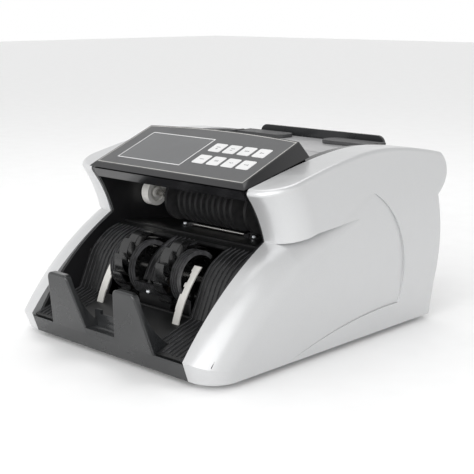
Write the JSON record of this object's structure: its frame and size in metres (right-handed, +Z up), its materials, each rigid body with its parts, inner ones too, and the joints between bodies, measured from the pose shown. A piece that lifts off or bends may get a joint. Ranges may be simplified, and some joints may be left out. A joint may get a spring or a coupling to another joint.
{
  "type": "banknote counter",
  "caption": "Desktop banknote counter with a top hopper, tilted control panel, feed roller, spiral impellers and a front stacker pocket between moulded side panels.",
  "frame": {"origin": "middle of the ground rectangle, under the rubber feet", "axes": "+X to the right seen from the front, +Y from the front to the back, +Z up"},
  "size_m": [0.2622, 0.323, 0.1805],
  "materials": {
    "silver_paint": "satin metallic paint on moulded plastic",
    "black_plastic": "fine moulded grain",
    "tray_plastic": "satin, ribbed",
    "impeller_plastic": "satin",
    "roller_rubber": "matt rubber",
    "belt_rubber": "matt rubber",
    "nylon": "white nylon",
    "steel": "ground steel",
    "guide_metal": "bright sheet",
    "bed_steel": "light grey coated sheet",
    "guide_plastic": "coarse grain",
    "film": "graphite film, satin",
    "window": "smoked film",
    "display": "dark filter",
    "key_white": "white printed keys",
    "circuit_board": "solder mask",
    "pulley_plastic": "acetal",
    "motor_steel": "zinc plated can",
    "core_steel": "varnished laminations",
    "lens": "clear lens",
    "socket_plastic": "gloss black",
    "rocker_plastic": "gloss black",
    "knob_plastic": "ribbed grip"
  },
  "bodies": {
    "housing": {"base_pan": "black_plastic", "feet": "roller_rubber", "left_side_panel": "silver_paint", "right_side_panel": "silver_paint", "chassis_left": "black_plastic", "chassis_right": "black_plastic", "shaft_bearings": "steel", "stacker_tray": "tray_plastic", "impeller_shrouds": "tray_plastic", "guide_strip_left": "guide_metal", "guide_strip_right": "guide_metal", "stacker_stopper": "black_plastic", "stopper_screws": "steel", "exit_guide": "tray_plastic", "guide_rod": "steel", "sensor_lenses": "lens", "front_hood": "black_plastic", "control_bezel": "black_plastic", "keypad_overlay": "film", "display_window": "window", "display_module": "display", "control_board": "circuit_board", "hopper_frame": "black_plastic", "hopper_plate_front": "bed_steel", "hopper_plate_rear": "bed_steel", "rear_cover": "black_plastic", "power_inlet": "socket_plastic", "main_motor": "motor_steel", "motor_belt": "belt_rubber", "impeller_belt": "belt_rubber", "pickup_belt": "belt_rubber", "separator_roller": "roller_rubber", "main_board": "circuit_board", "transformer": "core_steel"},
    "feed_roller": {"feed_shaft": "steel", "feed_drum": "roller_rubber", "feed_discs": "roller_rubber", "nylon_wheels": "nylon", "feed_pulley": "pulley_plastic"},
    "impellers": {"impeller_shaft": "steel", "impeller_left": "impeller_plastic", "impeller_right": "impeller_plastic", "impeller_pulley": "pulley_plastic"},
    "pickup_roller": {"pickup_shaft": "steel", "pickup_rollers": "roller_rubber", "pickup_pulley": "pulley_plastic"},
    "motor_rotor": {"motor_pulley": "pulley_plastic"},
    "note_support": {"hopper_back_board": "black_plastic"},
    "note_guide_left": {"hopper_guide_left": "guide_plastic"},
    "note_guide_right": {"hopper_guide_right": "guide_plastic"},
    "power_switch": {"power_rocker": "rocker_plastic"},
    "adjusting_knob": {"thickness_knob": "knob_plastic"},
    "button_1": {"key_1": "key_white"},
    "button_2": {"key_2": "key_white"},
    "button_3": {"key_3": "key_white"},
    "button_4": {"key_4": "key_white"},
    "button_5": {"key_5": "key_white"},
    "button_6": {"key_6": "key_white"},
    "button_7": {"key_7": "key_white"},
    "button_8": {"key_8": "key_white"}
  },
  "joints": [
    {"name": "feed_spin", "type": "hinge", "parent": "housing", "child": "feed_roller", "pos_m": [0, -0.0089, 0.115], "axis": [1, 0, 0], "continuous": true},
    {"name": "impeller_spin", "type": "hinge", "parent": "housing", "child": "impellers", "pos_m": [0, -0.0789, 0.066], "axis": [1, 0, 0], "continuous": true},
    {"name": "pickup_spin", "type": "hinge", "parent": "housing", "child": "pickup_roller", "pos_m": [0, 0.0371, 0.145], "axis": [1, 0, 0], "continuous": true},
    {"name": "motor_spin", "type": "hinge", "parent": "housing", "child": "motor_rotor", "pos_m": [0, 0.0731, 0.053], "axis": [1, 0, 0], "continuous": true},
    {"name": "support_tilt", "type": "hinge", "parent": "housing", "child": "note_support", "pos_m": [0, 0.132, 0.157], "axis": [-1, 0, 0], "range_deg": [0, 30]},
    {"name": "left_guide_slide", "type": "slide", "parent": "housing", "child": "note_guide_left", "axis": [1, 0, 0], "range_m": [0, 0.018]},
    {"name": "right_guide_slide", "type": "slide", "parent": "housing", "child": "note_guide_right", "axis": [-1, 0, 0], "range_m": [0, 0.018]},
    {"name": "power_rock", "type": "hinge", "parent": "housing", "child": "power_switch", "pos_m": [-0.037, 0.1432, 0.035], "axis": [1, 0, 0], "range_deg": [-8, 8]},
    {"name": "thickness_turn", "type": "hinge", "parent": "housing", "child": "adjusting_knob", "pos_m": [0, 0.1511, 0.101], "axis": [0, 1, 0], "range_deg": [-170, 170]},
    {"name": "key_1_press", "type": "slide", "parent": "housing", "child": "button_1", "axis": [0, 0.3714, -0.9285], "range_m": [0, 0.0005], "stiffness_N_per_m": 400, "springref_m": -0.0004},
    {"name": "key_2_press", "type": "slide", "parent": "housing", "child": "button_2", "axis": [0, 0.3714, -0.9285], "range_m": [0, 0.0005], "stiffness_N_per_m": 400, "springref_m": -0.0004},
    {"name": "key_3_press", "type": "slide", "parent": "housing", "child": "button_3", "axis": [0, 0.3714, -0.9285], "range_m": [0, 0.0005], "stiffness_N_per_m": 400, "springref_m": -0.0004},
    {"name": "key_4_press", "type": "slide", "parent": "housing", "child": "button_4", "axis": [0, 0.3714, -0.9285], "range_m": [0, 0.0005], "stiffness_N_per_m": 400, "springref_m": -0.0004},
    {"name": "key_5_press", "type": "slide", "parent": "housing", "child": "button_5", "axis": [0, 0.3714, -0.9285], "range_m": [0, 0.0005], "stiffness_N_per_m": 400, "springref_m": -0.0004},
    {"name": "key_6_press", "type": "slide", "parent": "housing", "child": "button_6", "axis": [0, 0.3714, -0.9285], "range_m": [0, 0.0005], "stiffness_N_per_m": 400, "springref_m": -0.0004},
    {"name": "key_7_press", "type": "slide", "parent": "housing", "child": "button_7", "axis": [0, 0.3714, -0.9285], "range_m": [0, 0.0005], "stiffness_N_per_m": 400, "springref_m": -0.0004},
    {"name": "key_8_press", "type": "slide", "parent": "housing", "child": "button_8", "axis": [0, 0.3714, -0.9285], "range_m": [0, 0.0005], "stiffness_N_per_m": 400, "springref_m": -0.0004}
  ],
  "couplings": [
    {"joint": "impeller_spin", "follows": "feed_spin", "ratio": 0.68421},
    {"joint": "pickup_spin", "follows": "feed_spin", "ratio": 1},
    {"joint": "motor_spin", "follows": "feed_spin", "ratio": 1.5}
  ]
}
